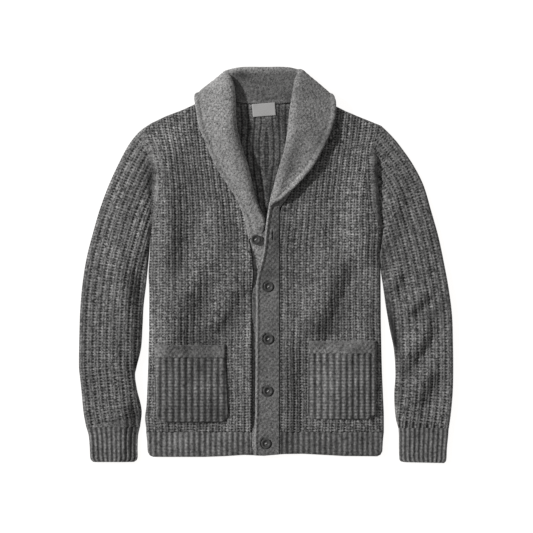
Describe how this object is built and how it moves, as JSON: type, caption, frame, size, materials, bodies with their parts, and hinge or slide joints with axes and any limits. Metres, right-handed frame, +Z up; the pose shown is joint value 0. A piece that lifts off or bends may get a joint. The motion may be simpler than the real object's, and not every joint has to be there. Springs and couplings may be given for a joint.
{
  "type": "shawl-collar cardigan",
  "caption": "Shawl-collar cardigan in chunky grey rib knit, lying flat and buttoned, with two patch pockets, ribbed hem and cuffs and a folded collar.",
  "frame": {"origin": "on the surface the garment lies on, under the middle of its outline", "axes": "+X to the wearer's left, +Y from the hem to the collar, +Z up out of the front of the garment as it lies"},
  "size_m": [0.7496, 0.7937, 0.0359],
  "materials": {
    "rib_knit": "thick fisherman rib in charcoal-grey marled wool",
    "welt_knit": "one-by-one rib in charcoal-grey marled wool",
    "moss_knit": "small-grained moss-like knit in grey marled wool",
    "woven_tape": "plain woven tape, matt",
    "horn": "dark horn-look resin, satin"
  },
  "bodies": {
    "root": {"back": "rib_knit", "front_right": "rib_knit", "front_left": "rib_knit", "sleeve_right": "rib_knit", "sleeve_left": "rib_knit", "pocket_right": "rib_knit", "pocket_left": "rib_knit", "hem_back": "welt_knit", "hem_front_right": "welt_knit", "hem_front_left": "welt_knit", "cuff_right": "welt_knit", "cuff_left": "welt_knit", "collar": "moss_knit", "button_band": "moss_knit", "buttonhole_band": "moss_knit", "pocket_band_right": "moss_knit", "pocket_band_left": "moss_knit", "neck_label": "woven_tape", "button_1": "horn", "button_2": "horn", "button_3": "horn", "button_4": "horn", "button_5": "horn"}
  },
  "joints": []
}
